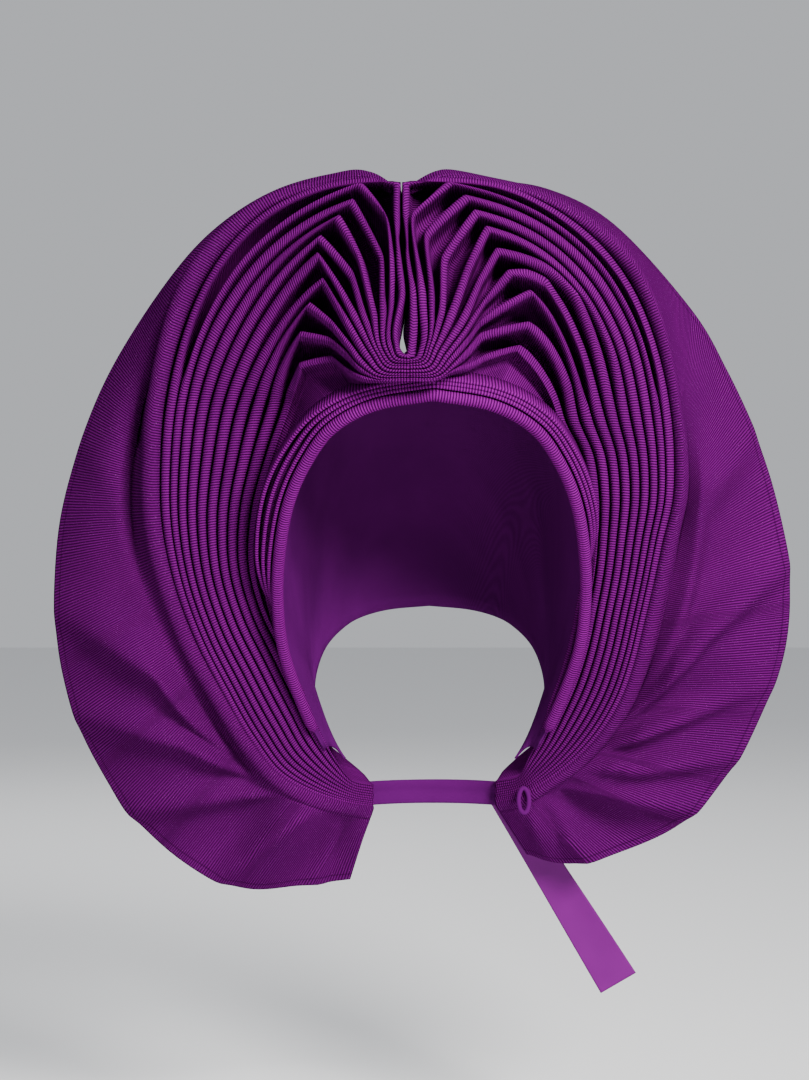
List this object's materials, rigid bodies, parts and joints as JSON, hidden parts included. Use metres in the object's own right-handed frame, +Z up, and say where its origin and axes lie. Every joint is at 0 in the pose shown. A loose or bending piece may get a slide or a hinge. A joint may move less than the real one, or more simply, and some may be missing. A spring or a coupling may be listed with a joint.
{
  "type": "tied gele head tie",
  "caption": "Pre-tied gele of stiff ribbed cloth, pleated and pinched over the forehead, flaring to wide wings, gathered at the nape with a hollow for the head",
  "frame": {"origin": "where the crown of the wearer's head sits inside the crown wrap", "axes": "+Z up, the wearer faces -Y, +X to the right as seen from the front"},
  "size_m": [0.3906, 0.1994, 0.4437],
  "materials": {
    "ribbed_cloth": "fine ribbed weave with a soft sheen",
    "plain_cloth": "plain matt lining cloth",
    "satin_cloth": "smooth satin"
  },
  "bodies": {
    "root": {"face_band": "ribbed_cloth", "band_layer_1": "ribbed_cloth", "band_layer_2": "ribbed_cloth", "band_layer_3": "ribbed_cloth", "wing_left": "ribbed_cloth", "wing_right": "ribbed_cloth", "tie_loop": "ribbed_cloth", "pleat_left_01": "ribbed_cloth", "pleat_left_02": "ribbed_cloth", "pleat_left_03": "ribbed_cloth", "pleat_left_04": "ribbed_cloth", "pleat_left_05": "ribbed_cloth", "pleat_left_06": "ribbed_cloth", "pleat_left_07": "ribbed_cloth", "pleat_left_08": "ribbed_cloth", "pleat_left_09": "ribbed_cloth", "pleat_left_10": "ribbed_cloth", "pleat_right_01": "ribbed_cloth", "pleat_right_02": "ribbed_cloth", "pleat_right_03": "ribbed_cloth", "pleat_right_04": "ribbed_cloth", "pleat_right_05": "ribbed_cloth", "pleat_right_06": "ribbed_cloth", "pleat_right_07": "ribbed_cloth", "pleat_right_08": "ribbed_cloth", "pleat_right_09": "ribbed_cloth", "pleat_right_10": "ribbed_cloth", "crown_wrap": "plain_cloth", "nape_strap": "plain_cloth", "tie_tail": "satin_cloth"}
  },
  "joints": []
}
